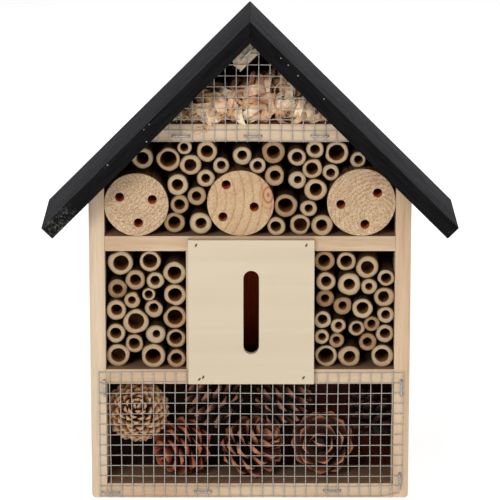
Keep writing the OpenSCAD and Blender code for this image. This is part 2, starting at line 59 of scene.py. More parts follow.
class Look:
    """A material, with short names for the shader nodes that the looks below use."""

    def __init__(self, name, rough=0.6, metallic=0.0, specular=0.4):
        self.material = bpy.data.materials.new(name)
        self.material.use_nodes = True
        self.tree = self.material.node_tree
        self.shader = self.tree.nodes["Principled BSDF"]
        self.rough(rough)
        self.put(self.shader, "Metallic", metallic)
        self.put(self.shader, "Specular IOR Level", specular)

    def add(self, kind, **settings):
        node = self.tree.nodes.new(kind)
        for key, value in settings.items():
            setattr(node, key, value)
        return node

    def put(self, node, socket, value):
        if isinstance(value, bpy.types.NodeSocket):
            self.tree.links.new(value, node.inputs[socket])
        else:
            node.inputs[socket].default_value = value

    def coords(self, scale=(1, 1, 1), turn=(0, 0, 0), shift=(0, 0, 0)):
        """Places in the part's own frame, in metres, shifted, turned and stretched."""
        source = self.add("ShaderNodeTexCoord").outputs["Object"]
        moved = self.add("ShaderNodeMapping", vector_type="POINT")
        self.put(moved, "Vector", source)
        self.put(moved, "Location", shift)
        self.put(moved, "Rotation", turn)
        stretched = self.add("ShaderNodeVectorMath", operation="MULTIPLY")
        self.put(stretched, 0, moved.outputs[0])
        self.put(stretched, 1, scale)
        return stretched.outputs[0]

    def noise(self, at, scale, detail=3.0, rough=0.55, warp=0.0):
        node = self.add("ShaderNodeTexNoise")
        self.put(node, "Vector", at)
        self.put(node, "Scale", scale)
        self.put(node, "Detail", detail)
        self.put(node, "Roughness", rough)
        self.put(node, "Distortion", warp)
        return node.outputs["Fac"]

    def cells(self, at, scale):
        """The distance to the nearest of many scattered points."""
        node = self.add("ShaderNodeTexVoronoi", feature="F1")
        self.put(node, "Vector", at)
        self.put(node, "Scale", scale)
        return node.outputs["Distance"]

    def rings(self, at, scale, warp, warp_scale):
        """Growth rings round the Y axis. Each rises from 0 to 1 and then drops."""
        node = self.add("ShaderNodeTexWave", wave_type="RINGS", rings_direction="Y", wave_profile="SAW")
        self.put(node, "Vector", at)
        self.put(node, "Scale", scale)
        self.put(node, "Distortion", warp)
        self.put(node, "Detail", 3.0)
        self.put(node, "Detail Scale", warp_scale)
        return node.outputs["Fac"]

    def ramp(self, value, *stops):
        """Colours or greys at places from 0 to 1."""
        node = self.add("ShaderNodeValToRGB")
        self.put(node, "Fac", value)
        ramp = node.color_ramp
        while len(ramp.elements) < len(stops):
            ramp.elements.new(0.5)
        for element, (place, colour) in zip(ramp.elements, stops):
            element.position = place
            element.color = colour if isinstance(colour, tuple) else (colour, colour, colour, 1)
        return node.outputs["Color"]

    def mix(self, share, a, b, mode="MIX"):
        node = self.add("ShaderNodeMix", data_type="RGBA", blend_type=mode)
        self.put(node, 0, share)
        self.put(node, 6, a)
        self.put(node, 7, b)
        return node.outputs[2]

    def math(self, operation, a, b=0.0):
        node = self.add("ShaderNodeMath", operation=operation)
        self.put(node, 0, a)
        self.put(node, 1, b)
        return node.outputs[0]

    def attribute(self, name):
        return self.add("ShaderNodeAttribute", attribute_name=name).outputs["Fac"]

    def colour(self, value):
        self.put(self.shader, "Base Color", value)

    def rough(self, value):
        self.put(self.shader, "Roughness", value)

    def part_of(self, vector, axis):
        """The X, Y or Z of a vector, where axis is 0, 1 or 2."""
        parts = self.add("ShaderNodeSeparateXYZ")
        self.put(parts, 0, vector)
        return parts.outputs[axis]

    def normal(self, axis):
        return self.part_of(self.add("ShaderNodeNewGeometry").outputs["Normal"], axis)

    def facing(self, axis, sign):
        """1 where a face looks along an axis, 0 where it stands beside it."""
        return self.ramp(self.math("MULTIPLY", self.normal(axis), sign), (0.6, 0.0), (0.95, 1.0))

    def side_to_side(self, *stops):
        """A ramp across the object, along X in metres from its middle, moved by half a metre."""
        return self.ramp(self.math("ADD", self.part_of(self.coords(), 0), 0.5), *stops)

    def distance(self, at, reach):
        """How far the point at lies from the origin, as a share of reach."""
        length = self.add("ShaderNodeVectorMath", operation="LENGTH")
        self.put(length, 0, at)
        return self.math("DIVIDE", length.outputs["Value"], reach)

    def bump(self, height, size):
        """Raises the surface by size metres where height is 1."""
        node = self.add("ShaderNodeBump")
        self.put(node, "Height", height)
        self.put(node, "Distance", size)
        self.put(self.shader, "Normal", node.outputs[0])


# How coordinates are stretched so that a pattern runs along the grain
GRAIN = {"X": (0.06, 1, 1), "Y": (1, 0.06, 1), "Z": (1, 1, 0.06)}
# Painted shade: the brown that the level upper faces of the boards are darkened towards
SHADED_TOP_BROWN = srgb(112, 78, 52)


def wood(name, light, mid, dark, grain, slope=0.0, shift=(0, 0, 0), streak=0.5,
         raise_by=0.12 * MM, top_shade=0.0):
    """Planed board: broad bands of growth, fine fibres and a few darker pores along the grain.
    Its level upper faces are browned with painted shade, as strongly as the last argument says."""
    look = Look(name, rough=0.62, specular=0.3)
    at = look.coords(GRAIN[grain], turn=(0, slope, 0), shift=shift)
    broad = look.noise(at, 110, 3, 0.5, 0.6)
    fibre = look.noise(at, 900, 5, 0.7)
    patch = look.noise(look.coords(shift=shift), 28, 2)
    base = look.ramp(broad, (0.3, dark), (0.5, mid), (0.68, light))
    tone = look.mix(look.ramp(patch, (0.4, 0.0), (0.7, 0.55)), base, mid)
    pores = look.ramp(fibre, (0.38, dark), (0.52, light))
    tone = look.mix(streak * 0.5, tone, pores)
    # Painted shade: upward faces are mixed towards a shaded brown
    look.colour(look.mix(look.math("MULTIPLY", look.facing(2, 1), top_shade), tone, SHADED_TOP_BROWN))
    look.rough(look.ramp(fibre, (0.3, 0.75), (0.7, 0.52)))
    look.bump(look.math("ADD", fibre, look.math("MULTIPLY", broad, 0.6)), raise_by)
    return look.material


def tinted(colour, warm):
    """The colour, warmer and a little deeper as warm goes from 0 to 1, paler below 0."""
    red, green, blue, alpha = colour
    return (red * (1 - 0.06 * warm), green * (1 - 0.16 * warm), blue * (1 - 0.26 * warm), alpha)


def pine(name, grain, slope=0.0, shift=(0, 0, 0), warm=0.0, top_shade=0.0):
    tones = (srgb(218, 195, 166), srgb(207, 179, 148), srgb(186, 151, 117))
    light, mid, dark = (tinted(tone, warm) for tone in tones)
    return wood(name, light, mid, dark, grain, slope, shift, top_shade=top_shade)


# ---- Meshes ----

def new_object(name, data):
    thing = bpy.data.objects.new(name, data)
    bpy.context.scene.collection.objects.link(thing)
    return thing


def worked_out(thing):
    """A new mesh of an object as it looks with its modifiers, or of a curve."""
    bpy.context.view_layer.update()
    graph = bpy.context.evaluated_depsgraph_get()
    return bpy.data.meshes.new_from_object(thing.evaluated_get(graph))


def around(count):
    """Angles that divide a turn into count parts."""
    return [2 * math.pi * k / count for k in range(count)]


class Shape:
    """Rings of points skinned into one mesh. Each face has a material number, and each point a
    tint and a place along its part."""

    def __init__(self):
        self.points = []
        self.tints = []
        self.alongs = []
        self.faces = []
        self.numbers = []

    def ring(self, points, tint=0.5, along=0.0):
        first = len(self.points)
        self.points.extend(tuple(p) for p in points)
        self.tints.extend([tint] * len(points))
        self.alongs.extend([along] * len(points))
        return list(range(first, first + len(points)))

    def face(self, corners, number=0):
        self.faces.append(tuple(corners))
        self.numbers.append(number)

    def skin(self, a, b, number=0, closed=True):
        count = len(a)
        for i in range(count if closed else count - 1):
            j = (i + 1) % count
            self.face((a[i], a[j], b[j], b[i]), number)

    def loft(self, rings, number=0, closed=True):
        for a, b in zip(rings, rings[1:]):
            self.skin(a, b, number, closed)

    def solid(self, rings):
        """Skins rings and closes both ends."""
        self.loft(rings)
        self.face(reversed(rings[0]))
        self.face(rings[-1])

    def build(self, name, materials, sharp=35):
        mesh = bpy.data.meshes.new(name)
        mesh.from_pydata(self.points, [], self.faces)
        for material in materials:
            mesh.materials.append(material)
        mesh.polygons.foreach_set("material_index", self.numbers)
        mesh.polygons.foreach_set("use_smooth", [True] * len(self.faces))
        for label, values in (("tint", self.tints), ("along", self.alongs)):
            layer = mesh.attributes.new(label, "FLOAT", "POINT")
            layer.data.foreach_set("value", values)
        tidy = bmesh.new()
        tidy.from_mesh(mesh)
        bmesh.ops.recalc_face_normals(tidy, faces=tidy.faces)
        tidy.to_mesh(mesh)
        tidy.free()
        mesh.set_sharp_from_angle(angle=math.radians(sharp))
        return new_object(name, mesh)


def settle(piece, slot, *nodes):
    """Puts a finished piece on the body, in place of its CAD nodes; its slot is not used."""
    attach(piece, "root")
    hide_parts(*nodes)


def apply_modifiers(piece):
    """Works a piece's modifiers into its mesh."""
    mesh = worked_out(piece)
    piece.modifiers.clear()
    piece.data = mesh


def tube(shape, path, radius):
    """A round bar along a path, closed at both ends."""
    rings = []
    last = len(path) - 1
    for i, point in enumerate(path):
        ahead = (path[min(i + 1, last)] - path[max(i - 1, 0)]).normalized()
        across = ahead.orthogonal() if i == 0 else across - ahead * across.dot(ahead)
        across.normalize()
        up = ahead.cross(across)
        rings.append(shape.ring([point + radius * (across * math.cos(a) + up * math.sin(a))
                                 for a in around(8)]))
    shape.solid(rings)


def round_edges(piece, width, angle):
    """Rounds each edge where the surface turns by more than angle degrees."""
    edge = piece.modifiers.new("edge", "BEVEL")
    edge.width = width
    edge.segments = 2
    edge.limit_method = "ANGLE"
    edge.angle_limit = math.radians(angle)


def plate(name, outline, y0, y1, material, bevel=0.4 * MM):
    """A board with its outline in the XZ plane and its edges rounded."""
    shape = Shape()
    shape.solid([shape.ring([(x, y, z) for x, z in outline]) for y in (y0, y1)])
    piece = shape.build(name, [material])
    round_edges(piece, bevel, 20)
    apply_modifiers(piece)
    piece.data.set_sharp_from_angle(angle=math.radians(40))
    return piece


def islands(node):
    """The separate solids of a CAD node, each as its points."""
    mesh = NODES[node].data
    merged = {}
    owner = {}

    def root(k):
        while owner[k] != k:
            owner[k] = owner[owner[k]]
            k = owner[k]
        return k

    keys = [tuple(round(c * 1e6) for c in v.co) for v in mesh.vertices]
    for key in keys:
        owner.setdefault(key, key)
    for polygon in mesh.polygons:
        first = root(keys[polygon.vertices[0]])
        for v in polygon.vertices[1:]:
            owner[root(keys[v])] = first
    for v, key in zip(mesh.vertices, keys):
        merged.setdefault(root(key), []).append(v.co.copy())
    return sorted(merged.values(),
                  key=lambda points: (round(min(p.x for p in points), 5), min(p.z for p in points)))


def limits(points):
    low = Vector(min(p[k] for p in points) for k in range(3))
    high = Vector(max(p[k] for p in points) for k in range(3))
    return low, high


# ---- Camera and light ----

FRONT_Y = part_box("left_side")[0].y


def make_camera():
    """Looks a little down on the front from a long way off."""
    elevation = math.radians(14.3)
    distance = 1.79
    target = Vector((0, FRONT_Y, 0.1507))
    data = bpy.data.cameras.new("camera")
    data.lens = 223.2
    data.clip_end = 20
    camera = new_object("camera", data)
    camera.location = target + distance * Vector((0, -math.cos(elevation), math.sin(elevation)))
    camera.rotation_euler = (math.pi / 2 - elevation, 0, 0)
    bpy.context.scene.camera = camera


def area_light(name, place, target, size, power):
    data = bpy.data.lights.new(name, "AREA")
    data.size = size
    data.energy = power
    light = new_object(name, data)
    light.location = place
    light.rotation_euler = (Vector(target) - Vector(place)).to_track_quat("-Z", "Y").to_euler()


def make_stage():
    world = bpy.data.worlds.new("studio")
    world.use_nodes = True
    background = world.node_tree.nodes["Background"].inputs
    background["Color"].default_value = (1, 1, 1, 1)
    background["Strength"].default_value = 0.22
    bpy.context.scene.world = world
    area_light("key", (-0.6, -1.45, 0.95), (0, 0, 0.14), 0.55, 12.8)
    area_light("fill", (0.9, -1.5, 0.5), (0, 0, 0.14), 0.9, 3.7)
    area_light("back", (0.3, 1.3, 1.0), (0, 0, 0.15), 0.9, 8)
    shape = Shape()
    reach = 8.0
    shape.face(shape.ring([(-reach, -reach, 0), (reach, -reach, 0), (reach, reach, 0), (-reach, reach, 0)]))
    look = Look("floor", rough=0.9, specular=0.0)
    look.colour((0.85, 0.85, 0.85, 1))
    look.put(look.shader, "Emission Color", (1, 1, 1, 1))
    look.put(look.shader, "Emission Strength", 0.64)
    shape.build("floor", [look.material])
    bpy.context.scene.view_settings.view_transform = "Standard"


# ---- Timber case ----

def box_outline(low, high):
    return [(low.x, low.z), (high.x, low.z), (high.x, high.z), (low.x, high.z)]


def worn_corner(x, z, inward, radius):
    """A rounded lower corner at x, z. inward is 1 where the board lies to its right."""
    steps = 4
    return [(x + inward * radius * (1 - math.cos(a)), z + radius * (1 - math.sin(a)))
            for a in (math.pi / 2 * k / steps for k in range(steps + 1))]


def stain_look():
    """Red-brown stain, thick. Behind the chamber its front face carries painted light: a bright red-orange
    patch.
    """
    look = Look("dark_stain", rough=0.7, specular=0.15)
    fibre = look.noise(look.coords(GRAIN["Z"]), 700, 4, 0.7)
    thick = look.ramp(fibre, (0.35, srgb(44, 14, 8)), (0.65, srgb(84, 28, 15)))
    black = look.ramp(fibre, (0.35, srgb(24, 14, 11)), (0.65, srgb(48, 26, 18)))
    tone = look.mix(look.side_to_side((0.5, 0.0), (0.55, 0.8)), black, thick)
    # Painted light: a bright red-orange patch on the front face behind the chamber
    chamber = look.distance(look.coords((1, 0.1, 0.8), shift=(0, 0, -118 * MM)), 100 * MM)
    chamber_lit_tone = look.ramp(fibre, (0.35, srgb(172, 62, 20)), (0.65, srgb(196, 76, 24)))
    inside = look.math("MULTIPLY", look.ramp(chamber, (0.27, 1.0), (0.29, 0.0)), look.facing(1, -1))
    rear = look.ramp(fibre, (0.35, srgb(58, 30, 20)), (0.65, srgb(92, 52, 36)))
    tone = look.mix(look.facing(1, 1), tone, rear)
    look.colour(look.mix(inside, tone, chamber_lit_tone))
    look.bump(fibre, 0.1 * MM)
    return look.material


def make_case():
    # The level boards get painted shade on their upper faces
    level = pine("pine_level", "X", top_shade=0.85)
    for side, node, shift in ((-1, "left_side", 0.0), (1, "right_side", 0.37)):
        low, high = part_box(node)
        inner, outer = (high.x, low.x) if side < 0 else (low.x, high.x)
        board = high.x - low.x
        corner = worn_corner(outer, low.z, -side, 2.2 * MM)
        outline = [(inner, low.z)] + corner[::-1] + [(outer, high.z - board), (inner, high.z)]
        look = pine("pine_" + node, "Z", shift=(shift, shift, 0), warm=0.25 * side)
        settle(plate(node + "_board", outline, low.y, high.y, look), "pine_board", node)
    upright = pine("pine_partition", "Z", shift=(0.2, 0, 0))
    for node in ("base_board", "lower_shelf", "upper_shelf", "left_partition", "right_partition"):
        low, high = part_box(node)
        look = upright if "partition" in node else level
        settle(plate(node + "_wood", box_outline(low, high), low.y, high.y, look), "pine_board", node)
    low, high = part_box("gable_shelf")
    rise = high.z - low.z
    outline = [(low.x, low.z), (high.x, low.z), (high.x - rise, high.z), (low.x + rise, high.z)]
    # The gable shelf's top gets painted shade as well
    look = pine("pine_gable", "X", shift=(0.3, 0, 0.2), warm=-0.3, top_shade=1.0)
    settle(plate("gable_shelf_wood", outline, low.y, high.y, look), "pine_board", "gable_shelf")
    low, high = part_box("back_panel")
    inner_top = high.z - high.x
    outline = [(low.x, low.z), (high.x, low.z), (high.x, inner_top), (0, high.z), (low.x, inner_top)]
    settle(plate("back_panel_wood", outline, low.y, high.y, stain_look()), "stained_board", "back_panel")


ROOF_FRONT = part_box("roof_left")[0].y
# Chips in the stain along the front edges of the roof: x, z and radius in mm
ROOF_CHIPS = ((-80.8, 205.5, 0.3), (-58.6, 219, 0.28), (-60, 226, 0.2), (-57, 229, 0.2),
              (17.4, 267, 0.22), (21.5, 263, 0.25), (27, 257, 0.25))
# Where the left eave is scuffed
SCUFFED = Vector((-0.1085, ROOF_FRONT, 0.173))


def chips(look):
    """1 on the chips."""
    total = None
    for x, z, radius in ROOF_CHIPS:
        spot = look.distance(look.coords(shift=(-x * MM, -ROOF_FRONT, -z * MM)), 4 * radius * MM)
        mark = look.ramp(spot, (0.25, 1.0), (0.4, 0.0))
        total = mark if total is None else look.math("MAXIMUM", total, mark)
    return total


def roof_look(name, slope):
    """Thin black stain: the grain shows through in brushed streaks, lightened on the upward faces by
    painted light and sheen, with a painted highlight on the bevelled front edges and a few pale specks and
    scuffs."""
    look = Look(name, rough=0.85, specular=0.03)
    at = look.coords(GRAIN["X"], turn=(0, slope, 0))
    broad = look.noise(at, 150, 3, 0.6, 0.8)
    fibre = look.noise(at, 1300, 5, 0.75)
    base = look.ramp(broad, (0.3, srgb(8, 8, 9)), (0.55, srgb(13, 13, 14)), (0.75, srgb(20, 20, 21)))
    streaks = look.ramp(fibre, (0.4, srgb(40, 40, 42)), (0.7, srgb(92, 92, 96)))
    # Painted light and sheen: the upward faces show lighter grain streaks
    lit_top = look.ramp(look.normal(2), (0.2, 0.08), (0.6, 0.9))
    tone = look.mix(lit_top, base, streaks)
    specks = look.ramp(look.cells(look.coords(), 95), (0.035, 1.0), (0.055, 0.0))
    rare = look.ramp(look.noise(look.coords(), 60, 2), (0.44, 0.0), (0.48, 1.0))
    pale = look.math("MAXIMUM", look.math("MULTIPLY", specks, rare), chips(look))
    tone = look.mix(pale, tone, srgb(168, 166, 160))
    # Painted highlight: a lighter line along the bevels round the front faces
    beside = look.math("SUBTRACT", 1.0, look.facing(1, -1))
    edge = look.ramp(beside, (0.02, 0.0), (0.2, 0.5), (0.8, 0.5), (0.98, 0.0))
    tone = look.mix(edge, tone, srgb(86, 86, 90))
    scuff = look.ramp(look.noise(look.coords(), 700, 4, 0.8), (0.5, 0.0), (0.6, 0.5))
    eave = look.ramp(look.distance(look.coords(shift=-SCUFFED), 40 * MM), (0.1, 1.0), (0.32, 0.0))
    look.colour(look.mix(look.math("MULTIPLY", scuff, eave), tone, srgb(120, 116, 108)))
    look.rough(look.ramp(fibre, (0.3, 0.85), (0.7, 0.6)))
    look.bump(look.math("ADD", fibre, broad), 0.18 * MM)
    return look.material


def make_roof():
    low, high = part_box("roof_right")
    board = (high.z - high.x - low.z) * math.sqrt(2)
    step = board / math.sqrt(2)
    ridge, apex = high.z, high.z - board * math.sqrt(2)
    for side, node in ((-1, "roof_left"), (1, "roof_right")):
        outline = [(0, apex), (0, ridge), (side * high.x, ridge - high.x),
                   (side * (high.x - step), ridge - high.x - step)]
        look = roof_look(node + "_stain", side * -math.pi / 4)
        settle(plate(node + "_board", outline, low.y, high.y, look, bevel=0.5 * MM), "roof_paint", node)


def make_front_panel():
    """The slotted plywood panel: a flat curve with a hole, given a thickness and soft edges."""
    low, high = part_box("front_panel")
    bevel = 0.25 * MM
    middle = (low + high) / 2
    slot_width, slot_height = 9 * MM, 50 * MM
    half = (slot_height - slot_width) / 2
    radius = slot_width / 2 + bevel
    slot = [(middle.x + radius * math.cos(a), middle.z + end * half + radius * math.sin(a))
            for end, start in ((1, 0), (-1, math.pi))
            for a in (start + math.pi * k / 16 for k in range(17))]
    outer = [(low.x + bevel, low.z + bevel), (high.x - bevel, low.z + bevel),
             (high.x - bevel, high.z - bevel), (low.x + bevel, high.z - bevel)]
    curve = bpy.data.curves.new("front_panel_outline", "CURVE")
    curve.dimensions = "2D"
    curve.fill_mode = "BOTH"
    for loop in (outer, slot):
        spline = curve.splines.new("POLY")
        spline.points.add(len(loop) - 1)
        for point, (x, z) in zip(spline.points, loop):
            point.co = (x, z, 0, 1)
        spline.use_cyclic_u = True
    curve.extrude = (high.y - low.y) / 2 - bevel
    curve.bevel_depth = bevel
    curve.bevel_resolution = 2
    drawn = new_object("front_panel_curve", curve)
    mesh = worked_out(drawn)
    bpy.data.objects.remove(drawn)
    mesh.transform(Matrix.Translation((0, middle.y, 0)) @ Matrix.Rotation(math.pi / 2, 4, "X"))
    mesh.name = "front_panel_plywood"
    look = wood("birch_plywood", srgb(214, 200, 175), srgb(211, 196, 170), srgb(206, 190, 162), "X",
                streak=0.2, raise_by=0.04 * MM)
    mesh.materials.clear()
    mesh.materials.append(look)
    mesh.polygons.foreach_set("use_smooth", [True] * len(mesh.polygons))
    mesh.set_sharp_from_angle(angle=math.radians(30))
    settle(new_object("front_panel_plywood", mesh), "plywood", "front_panel")


# ---- Canes ----

def cane_looks():
    skin = Look("cane_skin", rough=0.5, specular=0.3)
    at = skin.coords(GRAIN["Y"])
    fibre = skin.noise(at, 1500, 4)
    tint = skin.attribute("tint")
    tone = skin.ramp(tint, (0.0, srgb(56, 38, 23)), (0.5, srgb(70, 50, 31)), (1.0, srgb(54, 44, 28)))
    skin.colour(skin.mix(0.4, tone, skin.ramp(fibre, (0.35, srgb(36, 24, 15)), (0.65, srgb(84, 62, 40)))))
    skin.bump(fibre, 0.08 * MM)

    rim = Look("cane_rim", rough=0.8, specular=0.15)
    dots = rim.cells(rim.coords((1, 0.05, 1)), 2600)
    broad = rim.noise(rim.coords(), 330, 3)
    tint = rim.attribute("tint")
    edge = rim.attribute("along")
    tone = rim.ramp(tint, (0.0, srgb(146, 114, 84)), (0.2, srgb(176, 149, 117)), (0.7, srgb(192, 169, 138)),
                    (1.0, srgb(182, 166, 140)))
    tone = rim.mix(rim.ramp(broad, (0.4, 0.0), (0.7, 0.6)), tone, srgb(176, 146, 110))
    tone = rim.mix(rim.ramp(dots, (0.0, 0.4), (0.3, 0.0)), tone, srgb(132, 100, 70))
    rim.colour(rim.mix(rim.ramp(edge, (0.5, 0.0), (0.78, 0.5), (1.0, 0.9)), tone, srgb(120, 96, 68)))
    rim.bump(rim.math("ADD", dots, broad), 0.14 * MM)

    bore = Look("cane_bore", rough=0.6, specular=0.2)
    depth = bore.attribute("along")
    streak = bore.noise(bore.coords(GRAIN["Y"]), 1200, 4)
    # Painted shade: the lining darkens from the mouth of the bore inwards
    tone = bore.ramp(depth, (0.0, srgb(186, 142, 90)), (0.2, srgb(140, 86, 42)), (0.6, srgb(76, 40, 18)))
    bore.colour(bore.mix(0.3, tone, bore.ramp(streak, (0.35, srgb(70, 36, 16)), (0.7, srgb(180, 126, 74)))))
    return [skin.material, rim.material, bore.material]


class Outline:
    """A cane's section: an oval with a few soft corners, and sometimes a bud scar."""

    def __init__(self, rng):
        self.waves = [(n, rng.uniform(0, 6.28), size * rng.uniform(0.3, 1))
                      for n, size in ((2, 0.03), (3, 0.02), (4, 0.011), (5, 0.011), (9, 0.005))]
        self.dent = rng.choice((0, 0.03, 0.06, 0.1))
        self.dent_at = rng.uniform(0, 6.28)
        self.bud = rng.choice((0, 0.03, 0.05, 0.06))
        self.bud_at = rng.uniform(0, 6.28)

    def outer(self, a):
        wave = 1 - sum(size * (1 + math.sin(n * a + phase)) for n, phase, size in self.waves)
        wave -= self.dent * max(0.0, math.cos(a - self.dent_at) - 0.8) ** 2 * 25
        return wave + 0.05 + self.bud * max(0.0, math.cos(a - self.bud_at) - 0.9) * 10

    def inner(self, a):
        return 1 + sum(size * math.sin(n * a + phase + 1) for n, phase, size in self.waves) * 0.9


def cane(shape, rng, middle, radius, bore, y0, y1):
    """One cut cane: a sawn rim that leans a little, a pithy lining and a wall across its bore."""
    sides = 48
    outline = Outline(rng)
    wall = radius - bore
    off = rng.uniform(0, 0.16) * wall
    off_at = rng.uniform(0, 6.28)
    tint = rng.random()
    lean = Vector((rng.uniform(-0.03, 0.03), rng.uniform(-0.04, 0.04)))
    burr = [rng.uniform(0, 0.1) * MM for k in range(sides)]

    def loop(size, inset, y, along, inner=False, rough=0.0):
        points = []
        for k, a in enumerate(around(sides)):
            if inner:
                r = size * outline.inner(a) - inset
                x = r * math.cos(a) + off * math.cos(off_at)
                z = r * math.sin(a) + off * math.sin(off_at)
            else:
                r = size * outline.outer(a) - inset - rough * burr[k]
                x = r * math.cos(a)
                z = r * math.sin(a)
            tilt = (lean.x * x + lean.y * z) if y < y0 + 2 * MM else 0
            points.append((middle.x + x, y + tilt + rough * burr[(k * 7) % sides], middle.z + z))
        return shape.ring(points, tint, along)

    start = y0 + 0.3 * MM
    outer = [loop(radius, 0, y1, 1), loop(radius, 0, (y0 + y1) / 2, 1),
             loop(radius, 0, start + 0.5 * MM, 1), loop(radius, 0.08 * MM, start + 0.15 * MM, 1, rough=0.5)]
    rim = [loop(radius, 0.22 * MM, start, 1.0, rough=1), loop(radius, wall * 0.2, start, 0.75),
           loop(radius, wall * 0.45, start, 0.5), loop(bore, -0.3 * MM, start, 0.1, True),
           loop(bore, -0.12 * MM, start + 0.05 * MM, 0.0, True, 0.6)]
    inside = [loop(bore, 0, start + 0.25 * MM, 0.02, True)]
    end = y0 + rng.uniform(0.35, 0.9) * (y1 - y0)
    for share in (0.08, 0.25, 0.55, 1.0):
        inside.append(loop(bore, 0.15 * MM * share, start + (end - start) * share, share, True))
    shape.loft(outer, 0)
    shape.loft([outer[-1]] + rim, 1)
    shape.loft([rim[-1]] + inside, 2)
    shape.face(inside[-1], 2)
    shape.face(outer[0], 1)


def make_canes():
    looks = cane_looks()
    rng = random.Random(7)
    for node in sorted(n for n in NODES if "_canes_" in n):
        shape = Shape()
        for points in islands(node):
            low, high = limits(points)
            middle = (low + high) / 2
            radius = (high.x - low.x) / 2
            bore = min((Vector((p.x, p.z)) - Vector((middle.x, middle.z))).length for p in points)
            cane(shape, rng, middle, radius, bore, low.y, high.y)
        settle(shape.build(node + "_cut", looks), "cane_wood", node)


# ---- Logs ----

LOGS = {
    # node: pith from the log's middle (mm), distance between rings (mm), how rough it was sawn, and
    # a knot from the middle (mm)
    "log_left": ((-7, 11), 2.1, 1.0, None),
    "log_middle": ((-34, 3), 5.2, 0.25, (16, 5)),
    "log_right": ((9, -8), 2.4, 0.85, None),
}
# Each hole's middle from the log's middle, in mm
LOG_HOLES = {
    "log_left": ((-9.6, 4.4), (9.2, 3), (1.1, -10.8)),
    "log_middle": ((-8.2, 11), (-10.1, -8), (7.9, -2.1)),
    "log_right": ((-11.9, -1.1), (9.2, 5.7), (2.1, -12.9)),
}


def knotted(look, tone, middle, knot):
    """The tone with a knot in it: rings that fade out round its middle."""
    oval = look.coords((1, 0.02, 0.6), shift=(-middle.x - knot[0] * MM, 0, -middle.z - knot[1] * MM))
    away = look.distance(oval, 20 * MM)
    waves = look.ramp(look.math("SINE", look.math("MULTIPLY", away, 58)),
                      (0.0, srgb(206, 158, 122)), (1.0, srgb(158, 98, 64)))
    return look.mix(look.ramp(away, (0.14, 0.9), (0.32, 0.0)), tone, waves)


def log_look(name, middle, pith, spacing, sawn, knot):
    """Sawn end grain: growth rings round the pith, crossed by saw marks and torn fibres."""
    look = Look(name, rough=0.85, specular=0.1)
    centre = (-middle.x - pith[0] * MM, 0, -middle.z - pith[1] * MM)
    flat = look.coords((1, 0.02, 1), shift=centre)
    rings = look.rings(flat, 2 * math.pi / (20 * spacing * MM), 2.2, 90)
    late = look.ramp(rings, (0.0, 0.0), (0.72, 0.1), (0.93, 1.0), (1.0, 0.0))
    speck = look.noise(look.coords(), 1700, 4, 0.75)
    torn = look.noise(look.coords((0.35, 1, 1), turn=(0, 0.6, 0)), 900, 4, 0.75)
    patch = look.noise(look.coords(shift=centre), 85, 2)
    tone = look.mix(look.ramp(patch, (0.4, 0.0), (0.68, 0.75)), srgb(206, 176, 134), srgb(202, 154, 118))
    tone = look.mix(look.math("MULTIPLY", late, 0.5 - 0.2 * sawn), tone, srgb(178, 118, 70))
    rough_tone = look.ramp(speck, (0.4, srgb(142, 100, 72)), (0.5, srgb(202, 168, 130)),
                           (0.6, srgb(240, 220, 188)))
    tone = look.mix(0.15 + 0.6 * sawn, tone, rough_tone)
    torn_tone = look.ramp(torn, (0.36, srgb(146, 104, 74)), (0.62, srgb(236, 212, 180)))
    tone = look.mix(0.1 + 0.16 * sawn, tone, torn_tone)
    look.colour(knotted(look, tone, middle, knot) if knot else tone)
    height = look.math("MULTIPLY", look.math("ADD", torn, speck), 0.3 + 0.7 * sawn)
    look.bump(look.math("ADD", height, look.math("MULTIPLY", rings, 0.3)), 0.4 * MM)
    return look.material


def log_side_look():
    """The shaved side of a log, dark brown: painted shade."""
    look = Look("log_side", rough=0.85, specular=0.1)
    fibre = look.noise(look.coords(GRAIN["Y"]), 900, 4)
    look.colour(look.ramp(fibre, (0.35, srgb(66, 42, 26)), (0.65, srgb(120, 84, 54))))
    look.bump(fibre, 0.3 * MM)
    return look.material


def log_drill(node, low, middle, look):
    """The bits that cut a log's holes, each a little inside the hole of the CAD log."""
    drill = Shape()
    radius = 2.7 * MM
    for x, z in LOG_HOLES[node]:
        hole_x = middle.x + x * MM
        hole_z = middle.z + z * MM
        near, far = [drill.ring([(hole_x + radius * math.cos(a), y, hole_z + radius * math.sin(a))
                                 for a in around(40)])
                     for y in (low.y - 2 * MM, low.y + 26 * MM)]
        drill.skin(near, far)
        drill.face(near)
        drill.face(reversed(far))
    return drill.build(node + "_drill", [look])


